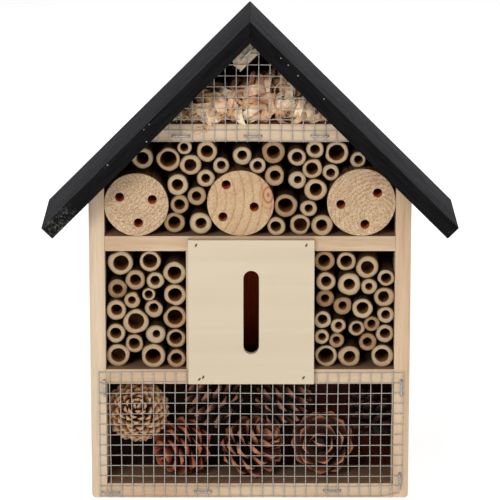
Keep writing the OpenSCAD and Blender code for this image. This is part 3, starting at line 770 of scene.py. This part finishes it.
def make_log(node, rng, side_look, hole_look):
    low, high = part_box(node)
    middle = (low + high) / 2
    radius = (high.x - low.x) / 2
    pith, spacing, sawn, knot = LOGS[node]
    wander = [(n, rng.uniform(0, 6.28), rng.uniform(0.001, 0.0035)) for n in (2, 3, 5, 9)]
    shape = Shape()

    def loop(inset, y):
        points = []
        for a in around(120):
            r = radius * (1.002 + sum(w * math.sin(n * a + p) for n, p, w in wander)) - inset
            points.append((middle.x + r * math.cos(a), y, middle.z + r * math.sin(a)))
        return shape.ring(points)

    side = [loop(0.5 * MM, high.y), loop(0, high.y - 0.5 * MM), loop(0, middle.y),
            loop(0, low.y + 0.4 * MM)]
    face = [loop(0.1 * MM, low.y + 0.12 * MM), loop(0.35 * MM, low.y)]
    shape.loft(side, 1)
    shape.loft(side[-1:] + face)
    shape.face(side[0])
    shape.face(reversed(face[-1]))
    face_look = log_look(node + "_wood", middle, pith, spacing, sawn, knot)
    piece = shape.build(node + "_sawn", [face_look, side_look])
    cutter = log_drill(node, low, middle, hole_look)
    cut = piece.modifiers.new("holes", "BOOLEAN")
    cut.operation = "DIFFERENCE"
    cut.object = cutter
    cut.solver = "EXACT"
    cut.material_mode = "TRANSFER"
    apply_modifiers(piece)
    bpy.data.objects.remove(cutter)
    piece.data.set_sharp_from_angle(angle=math.radians(35))
    settle(piece, "log_wood", node)


def make_logs():
    hole = Look("log_hole", rough=0.8, specular=0.1)
    streak = hole.noise(hole.coords(GRAIN["Y"]), 1500, 3)
    hole.colour(hole.ramp(streak, (0.3, srgb(176, 92, 34)), (0.7, srgb(226, 142, 72))))
    hole.bump(streak, 0.1 * MM)
    side_look = log_side_look()
    rng = random.Random(11)
    for node in LOGS:
        make_log(node, rng, side_look, hole.material)


# ---- Wire, staples and brads ----

def steel(name, dark, light, rough, metallic=0.75):
    look = Look(name, rough=rough, metallic=metallic, specular=0.4)
    spots = look.noise(look.coords(), 900, 4, 0.7)
    look.colour(look.ramp(spots, (0.3, dark), (0.7, light)))
    look.rough(look.ramp(spots, (0.3, rough + 0.12), (0.7, rough - 0.08)))
    look.bump(spots, 0.03 * MM)
    return look.material


def make_mesh_wire(node, look, bend):
    """Rebuilds each wire of a mesh as a slightly uneven bar, thinner than the wire in the CAD.
    bend moves a point of the sheet."""
    shape = Shape()
    step = 3.2 * MM
    share = 0.7
    for points in islands(node):
        low, high = limits(points)
        middle = (low + high) / 2
        size = high - low
        along = 0 if size.x > size.z else 2
        count = max(2, round(size[along] / step))
        path = []
        for k in range(count + 1):
            p = middle.copy()
            p[along] = low[along] + size[along] * k / count
            path.append(bend(p, along))
        tube(shape, path, size.y / 2 * share)
    settle(shape.build(node + "_wire", [look]), "mesh_wire", node)


LOWER_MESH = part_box("lower_mesh")


def lower_bend(p, along):
    """The sheet is a little wavy, and its lower right corner is pushed in and up."""
    low, high = LOWER_MESH
    wave = noise.noise(Vector((p.x * 14, 0, p.z * 14))) * 0.5 * MM
    ripple = noise.noise(Vector((p.x * 45, 5, p.z * 45))) * 0.22 * MM
    q = p.copy()
    if along == 2:
        q.x += wave + ripple
    else:
        q.z += noise.noise(Vector((p.x * 13, 9, p.z * 20))) * 0.55 * MM + ripple
    corner = max(0.0, 1 - (high.x - p.x) / (12 * MM)) * max(0.0, 1 - (p.z - low.z) / (9 * MM))
    q.z += 2.2 * MM * corner
    q.x -= 2.5 * MM * corner
    return q


def gable_bend(p, along):
    """The sheet is a little wavy."""
    q = p.copy()
    if along == 2:
        q.x += noise.noise(Vector((p.x * 20, 3, p.z * 18))) * 0.7 * MM
    else:
        q.z += noise.noise(Vector((p.x * 18, 7, p.z * 20))) * 0.6 * MM
    return q


# Half the width and thickness of a staple's wire, and the bend between its crown and a leg
STAPLE_WIDE, STAPLE_THICK, STAPLE_BEND = 0.6 * MM, 0.3 * MM, 1.0 * MM
# The section of its wire, in shares of those halves: flat, with its corners cut off
STAPLE_SECTION = ((-1, -0.6), (-0.8, -1), (0.8, -1), (1, -0.6), (1, 0.6), (0.8, 1), (-0.8, 1), (-1, 0.6))


def long_direction(crown, middle):
    """The long direction of a flat crown in the XZ plane."""
    sxx = sum((p.x - middle.x) ** 2 for p in crown)
    szz = sum((p.z - middle.z) ** 2 for p in crown)
    sxz = sum((p.x - middle.x) * (p.z - middle.z) for p in crown)
    angle = 0.5 * math.atan2(2 * sxz, sxx - szz)
    return Vector((math.cos(angle), 0, math.sin(angle)))


def staple_half(middle, outward, front, deep):
    """The path of half a staple, from the end of its leg to its crown. outward reaches from the
    staple's middle to its leg."""
    reach = outward.length
    foot = middle + outward
    path = [Vector((foot.x, deep, foot.z))]
    for a in (math.pi / 2 * k / 6 for k in range(7)):
        place = middle + outward / reach * (reach - STAPLE_BEND + STAPLE_BEND * math.cos(a))
        path.append(Vector((place.x, front + STAPLE_BEND * (1 - math.sin(a)), place.z)))
    return path


def make_staples(node, look):
    """Flat-wire staples, with a bent crown and legs that go into the wood."""
    shape = Shape()
    for points in islands(node):
        low, high = limits(points)
        crown = [p for p in points if p.y < low.y + 0.1 * MM]
        flat_low, flat_high = limits(crown)
        middle = (flat_low + flat_high) / 2
        direction = long_direction(crown, middle)
        across = Vector((0, -1, 0)).cross(direction).normalized()
        half = max((a - b).length for a in crown for b in crown) / 2 - 0.05 * MM - STAPLE_THICK
        left, right = (staple_half(middle, direction * side * half, low.y + STAPLE_THICK, high.y - 2 * MM)
                       for side in (-1, 1))
        path = left + right[::-1]
        rings = []
        for i, point in enumerate(path):
            ahead = (path[min(i + 1, len(path) - 1)] - path[max(i - 1, 0)]).normalized()
            out = ahead.cross(across).normalized()
            rings.append(shape.ring([point + across * STAPLE_WIDE * wide + out * STAPLE_THICK * thick
                                     for wide, thick in STAPLE_SECTION]))
        shape.solid(rings)
    settle(shape.build(node + "_bent", [look]), "staple_wire", node)


def make_panel_brads(look):
    """Brads shot at a slant: each leaves an oval head that leans to the right."""
    shape = Shape()
    rng = random.Random(8)
    half_width, half_length = 0.62 * MM, 1.15 * MM
    for points in islands("panel_brads"):
        low, high = limits(points)
        middle = (low + high) / 2
        lean = rng.uniform(0.35, 0.75)
        # The brad from its point to its head: its size as a share of the head, and its place
        profile = ((0.25, high.y), (0.25, low.y + 0.3 * MM), (0.9, low.y + 0.06 * MM),
                   (1.0, low.y - 0.04 * MM), (0.6, low.y - 0.12 * MM))
        rings = []
        for share, y in profile:
            loop = []
            for a in around(14):
                across = half_width * share * math.cos(a)
                up = half_length * share * math.sin(a)
                loop.append((middle.x + across * math.cos(lean) + up * math.sin(lean), y,
                             middle.z - across * math.sin(lean) + up * math.cos(lean)))
            rings.append(shape.ring(loop))
        shape.solid(rings)
    settle(shape.build("panel_brad_heads", [look]), "brad_steel", "panel_brads")


def make_metal():
    wire = steel("galvanised_wire", srgb(150, 147, 140), srgb(196, 193, 186), 0.6, 0.15)
    staple = steel("staple_steel", srgb(112, 112, 110), srgb(196, 196, 194), 0.38)
    make_mesh_wire("lower_mesh", wire, lower_bend)
    make_mesh_wire("gable_mesh", wire, gable_bend)
    make_staples("lower_mesh_staples", staple)
    make_staples("gable_mesh_staples", staple)
    brad = steel("brad_steel", srgb(70, 62, 52), srgb(120, 112, 102), 0.5)
    zinc = steel("zinc_plate", srgb(150, 152, 156), srgb(200, 203, 206), 0.38)
    make_panel_brads(brad)
    for node, look in (("side_brads", brad), ("roof_brads", brad), ("back_brads", brad),
                       ("hanger_plate", zinc), ("hanger_screws", zinc)):
        piece = NODES[node]
        piece.data.materials.clear()
        piece.data.materials.append(look)
        round_edges(piece, 0.15 * MM, 50)


# ---- Pine cones ----

CONE_COLOURS = {
    # name: hollow (painted shade at a scale's root), flank, tip and worn edge of a scale, and where along
    # it the first three lie
    "brown": ((36, 21, 17), (120, 66, 46), (186, 126, 92), (132, 82, 62), (0.55, 0.85, 1.0)),
    "red": ((44, 20, 15), (132, 62, 42), (182, 108, 74), (134, 66, 48), (0.45, 0.8, 1.0)),
    "hollow": ((30, 22, 20), (104, 60, 44), (206, 138, 100), (150, 92, 68), (0.76, 0.9, 1.0)),
    # far and dark are darker copies: painted shade for cones that sit deep in the bay
    "far": ((28, 17, 14), (92, 54, 40), (158, 110, 88), (104, 70, 58), (0.6, 0.85, 1.0)),
    "dark": ((20, 10, 8), (48, 22, 16), (84, 42, 30), (60, 30, 24), (0.72, 0.9, 1.0)),
    "pale": ((70, 36, 22), (164, 114, 76), (212, 172, 130), (184, 140, 100), (0.45, 0.8, 1.0)),
}


def cone_look(name, hollow, flank, tip, edge, places):
    """Scales: dark hollow faces towards the root, which is painted shade, and a paler tip. Colours go from
    the root of a scale to its tip.
    """
    look = Look("cone_" + name, rough=0.65, specular=0.25)
    tint = look.attribute("tint")
    along = look.attribute("along")
    grain = look.noise(look.coords(), 900, 4, 0.7)
    stops = [(place, srgb(*colour)) for place, colour in zip(places, (hollow, flank, tip))]
    tone = look.mix(look.ramp(tint, (0.0, 0.0), (1.0, 0.4)), look.ramp(along, *stops), srgb(*edge))
    grained = look.mix(1.0, tone, look.ramp(grain, (0.3, 0.45), (0.7, 1.5)), "MULTIPLY")
    look.colour(look.mix(0.35, tone, grained))
    look.bump(grain, 0.2 * MM)
    return look.material


def cone_scale(shape, root, tip, axis, width, thick, curl, tint):
    """One woody scale: a narrow root and a broad round tip, cupped towards the cone's tip."""
    out = tip - root
    length = out.length
    out.normalize()
    side = out.cross(axis).normalized()
    up = side.cross(out)
    rows, cols = 9, 8
    bend = min(0.75, width / length)
    sheets = []
    for face in (1, -1):
        grid = []
        for i in range(rows + 1):
            u = 1 - (1 - i / rows) ** 1.7
            spread = width * (0.25 + 0.75 * math.sin(min(1, u * 1.25) * math.pi / 2))
            if u > 1 - bend:
                spread *= math.sqrt(max(0.02, 1 - ((u - 1 + bend) / bend) ** 2))
            lift = curl * length * (u * u - 0.3 * u)
            deep = thick * (0.2 + 0.8 * u * u)
            row = []
            for j in range(cols + 1):
                v = 2 * j / cols - 1
                cup = 0.34 * spread * v * v
                height = lift + cup + face * deep * (1 - 0.6 * v * v) * 0.5
                row.append(root + out * (u * length) + side * (v * spread) + up * height)
            grid.append(shape.ring(row, tint, u))
        sheets.append(grid)
    top, bottom = sheets
    for grid in sheets:
        shape.loft(grid, closed=False)
    shape.skin(top[-1], bottom[-1], closed=False)
    shape.skin(top[0], bottom[0], closed=False)
    for k in (0, -1):
        for i in range(rows):
            shape.face((top[i][k], top[i + 1][k], bottom[i + 1][k], bottom[i][k]))


def cone_core(shape, centre, axis, first, second, size, length):
    """The spindle in the middle of a cone, which its scales grow from."""
    rings = []
    for k in range(9):
        u = -0.9 + 1.75 * k / 8
        r = size * 0.24 * math.sqrt(max(0.04, 1 - u * u))
        middle = centre + axis * (u * length / 2)
        rings.append(shape.ring([middle + r * (first * math.cos(a) + second * math.sin(a))
                                 for a in around(12)], 0.0, 0.0))
    shape.solid(rings)


def pine_cone(name, centre, axis, size, length, count, base_drop, tip_drop, broad, thick, look, rng):
    """Scales in crossing spirals round a core. Each tip lies on an egg, base first. The drops say
    how far a scale's root lies behind its tip along the axis, as shares of the cone's size."""
    shape = Shape()
    axis = axis.normalized()
    first = axis.orthogonal().normalized()
    second = axis.cross(first)
    cone_core(shape, centre, axis, first, second, size, length)
    golden = math.pi * (3 - math.sqrt(5))
    for k in range(count):
        u = -0.94 + 1.94 * (k + 0.8) / count
        share = (u + 1) / 2
        round_here = math.sqrt(1 - u * u)
        radius = size * round_here * (1 - 0.1 * u) * rng.uniform(0.93, 1.0)
        angle = k * golden + rng.uniform(-0.06, 0.06)
        radial = first * math.cos(angle) + second * math.sin(angle)
        drop = size * (base_drop + (tip_drop - base_drop) * share)
        tip = centre + axis * (u * length / 2) + radial * radius
        inside = max(-0.42 * length, min(0.42 * length, u * length / 2 - drop))
        root = centre + axis * inside + radial * size * 0.12
        width = broad * size * (0.5 + 0.5 * round_here) * rng.uniform(0.92, 1.08)
        cone_scale(shape, root, tip, axis, width, thick * width, rng.uniform(0.08, 0.22), rng.random())
    return shape.build(name, [look])


CONES = {
    # node: axis from base to tip, size and length as shares of the CAD ball, number of scales,
    # drop at the base and at the tip, breadth and thickness of a scale, colour
    "pine_cone_1": ((0.05, -0.88, 0.45), 1.14, 0.98, 165, 0.25, 0.75, 0.15, 0.8, "pale"),
    "pine_cone_2": ((-0.75, -0.6, -0.2), 1.1, 1.05, 40, -0.05, 0.6, 0.36, 0.36, "red"),
    "pine_cone_3": ((-0.8, 0.1, 0.55), 1.15, 1.2, 42, -0.2, 0.5, 0.28, 0.4, "far"),
    "pine_cone_4": ((0.6, -0.4, 0.62), 1.12, 1.1, 48, 0.1, 0.65, 0.3, 0.42, "brown"),
    "pine_cone_5": ((-0.15, -0.94, 0.28), 1.16, 0.85, 30, 0.25, 0.85, 0.42, 0.2, "hollow"),
    "pine_cone_6": ((-0.3, 0.5, 0.6), 1.15, 1.2, 44, -0.3, 0.5, 0.27, 0.3, "dark"),
    "pine_cone_7": ((0.75, 0.1, 0.6), 1.15, 1.2, 42, -0.2, 0.5, 0.28, 0.4, "far"),
}


def make_cones():
    looks = {name: cone_look(name, *colours) for name, colours in CONE_COLOURS.items()}
    rng = random.Random(31)
    for node, (axis, wide, long, count, base, tip, broad, thick, look) in CONES.items():
        low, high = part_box(node)
        size = (high.z - low.z) / 2
        centre = (low + high) / 2
        if look in ("far", "dark"):
            centre.y += 3 * MM
        piece = pine_cone(node + "_scales", centre, Vector(axis), size * wide, 2 * size * long, count,
                          base, tip, broad, thick, looks[look], rng)
        settle(piece, "cone_scale", node)


# ---- Wood shavings ----

# The section of a ribbon, in shares of half its width and thickness
RIBBON_SECTION = ((-1, -1), (-0.33, -1), (0.33, -1), (1, -1), (1, 1), (0.33, 1), (-0.33, 1), (-1, 1))


def shaving_look():
    look = Look("shaving_pale", rough=0.7, specular=0.15)
    tint = look.attribute("tint")
    fibre = look.noise(look.coords(), 1300, 4, 0.7)
    patch = look.noise(look.coords(), 230, 2)
    # Low tints are painted shade: the heap's core and the shavings behind the front
    tone = look.ramp(tint, (0.0, srgb(74, 38, 18)), (0.12, srgb(140, 80, 42)), (0.4, srgb(208, 158, 108)),
                     (0.9, srgb(244, 224, 192)))
    tone = look.mix(look.ramp(patch, (0.48, 0.0), (0.62, 0.6)), tone, srgb(188, 116, 68))
    fibres = look.ramp(fibre, (0.35, srgb(190, 132, 84)), (0.65, srgb(250, 232, 204)))
    look.colour(look.mix(0.25, tone, fibres))
    look.bump(fibre, 0.08 * MM)
    return look.material


def shaving(shape, rng, place, size=1.0, pale=1.0):
    """One curled shaving: a thin crinkled ribbon along a loose, opening helix."""
    direction = Vector((rng.gauss(0, 1), rng.gauss(0, 0.45), rng.gauss(0, 0.8))).normalized()
    first = direction.orthogonal().normalized()
    first.rotate(Matrix.Rotation(rng.uniform(0, 6.28), 3, direction))
    second = direction.cross(first)
    radius = rng.uniform(1.6, 5.5) * MM * size
    turns = rng.uniform(0.35, 1.2)
    width = rng.uniform(1.6, 6.5) * MM * size
    pitch = rng.uniform(0.2, 1.4) * width * turns
    steps = max(8, round(20 * turns))
    thick = 0.09 * MM
    # pale below 1 darkens the tint: painted shade for a shaving deep in the heap
    tint = pale * rng.uniform(0.25, 1)
    seed = rng.uniform(0, 100)
    rings = []
    for k in range(steps + 1):
        t = k / steps
        a = 2 * math.pi * turns * t
        radial = first * math.cos(a) + second * math.sin(a)
        half = width / 2 * (0.35 + 0.65 * math.sin(math.pi * min(1, 0.08 + t * 0.95)) ** 0.6)
        row = []
        for s, o in RIBBON_SECTION:
            crinkle = noise.noise(Vector((seed, t * 5 * turns, s * 1.4))) * 0.9 * MM * size
            reach = radius * (1 + 0.6 * t) + crinkle + thick * o
            row.append(place + radial * reach + direction * (pitch * (t - 0.5) + half * s))
        rings.append(shape.ring(row, tint, t))
    shape.solid(rings)


def heap_top(outline, x):
    """The height of the heap's upper edge at x."""
    for (x0, z0), (x1, z1) in zip(outline, outline[1:]):
        if x0 <= x <= x1:
            return z0 + (z1 - z0) * (x - x0) / max(x1 - x0, 1e-9)
    return outline[0][1]


def make_shavings():
    """A core for the heap, dark with painted shade, curls over its front, top and back, those behind the
    front darkened by painted shade, and a few flakes spilt in front.
    """
    rng = random.Random(5)
    low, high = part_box("wood_shavings")
    tops = {}
    for v in NODES["wood_shavings"].data.vertices:
        key = round(v.co.x, 5)
        tops[key] = max(tops.get(key, low.z), v.co.z)
    outline = sorted(tops.items())
    shape = Shape()
    sink = 11 * MM
    line = [(x, max(low.z + 0.5 * MM, z - sink)) for x, z in outline if low.x + sink < x < high.x - sink]
    line = [(line[0][0], low.z)] + line + [(line[-1][0], low.z)]
    # The core takes the lowest tint: painted shade inside the heap
    shape.solid([shape.ring([(x, y, z) for x, z in line], 0.0)
                 for y in (low.y + sink, high.y - sink / 2)])
    edge = 4.5 * MM
    for k in range(380):
        x = rng.uniform(low.x + edge, high.x - edge)
        top = heap_top(outline, x) - (7 if x < 0 else 5) * MM
        if k % 5 < 3:
            y = low.y + rng.uniform(4.5, 9) * MM
            z = rng.uniform(low.z + 3 * MM, max(low.z + 3 * MM, top - edge))
        else:
            y = rng.uniform(low.y + 6 * MM, high.y - edge)
            z = top - rng.uniform(4, 7) * MM
        room = min(1.0, (top - low.z) / (14 * MM))
        # Painted shade: shavings behind the front get darker tints
        pale = 1.0 if y < low.y + 8 * MM else 0.4
        if z > low.z + 2 * MM:
            shaving(shape, rng, Vector((x, y, z)), 0.45 + 0.55 * room, pale)
    spill = Vector((-26 * MM, low.y - 1.6 * MM, low.z))
    for k in range(12):
        flake = Vector((rng.gauss(0, 2.6), rng.uniform(-0.4, 0.6), rng.uniform(-6, 1.5))) * MM
        shaving(shape, rng, spill + flake, rng.uniform(0.16, 0.34))
    settle(shape.build("wood_shavings_heap", [shaving_look()]), "shaving", "wood_shavings")


def make_ridge_block():
    """The block under the ridge. It lies along the left roof board, and its lower end is torn."""
    low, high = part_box("ridge_block")
    rng = random.Random(3)
    top = Vector((0, 0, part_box("back_panel")[1].z))
    down = Vector((-1, 0, -1)).normalized()
    inward = Vector((1, 0, -1)).normalized()
    corners = [v.co - top for v in NODES["ridge_block"].data.vertices]
    near = min(p.dot(inward) for p in corners)
    deep = max(p.dot(inward) for p in corners)
    long = max(p.dot(down) for p in corners)
    start = min(p.dot(down) for p in corners)
    shape = Shape()
    teeth = 9
    tears = [rng.uniform(-1.6, 1.0) * MM if 0 < k < teeth else 0 for k in range(teeth + 1)]
    rings = []
    # How torn the block is at each depth, from its back to its front
    torn = ((high.y, 0.0), (low.y + 6 * MM, 0.2), (low.y + 1.2 * MM, 0.9), (low.y + 0.1 * MM, 1.0))
    for y, amount in torn:
        loop = [top + inward * near + down * start, top + inward * deep + down * start]
        for k in range(teeth + 1):
            across = near + (deep - near) * (1 - k / teeth)
            loop.append(top + inward * across + down * (long + min(0, tears[k]) * amount))
        rings.append(shape.ring([p + Vector((0, y, 0)) for p in loop]))
    shape.solid(rings)
    look = pine("pine_block", "X", slope=math.pi / 4, shift=(0.1, 0, 0), warm=-0.4)
    settle(shape.build("ridge_block_torn", [look], sharp=20), "pine_board", "ridge_block")


make_camera()
make_stage()
make_case()
make_roof()
make_front_panel()
make_canes()
make_logs()
make_metal()
make_cones()
make_shavings()
make_ridge_block()
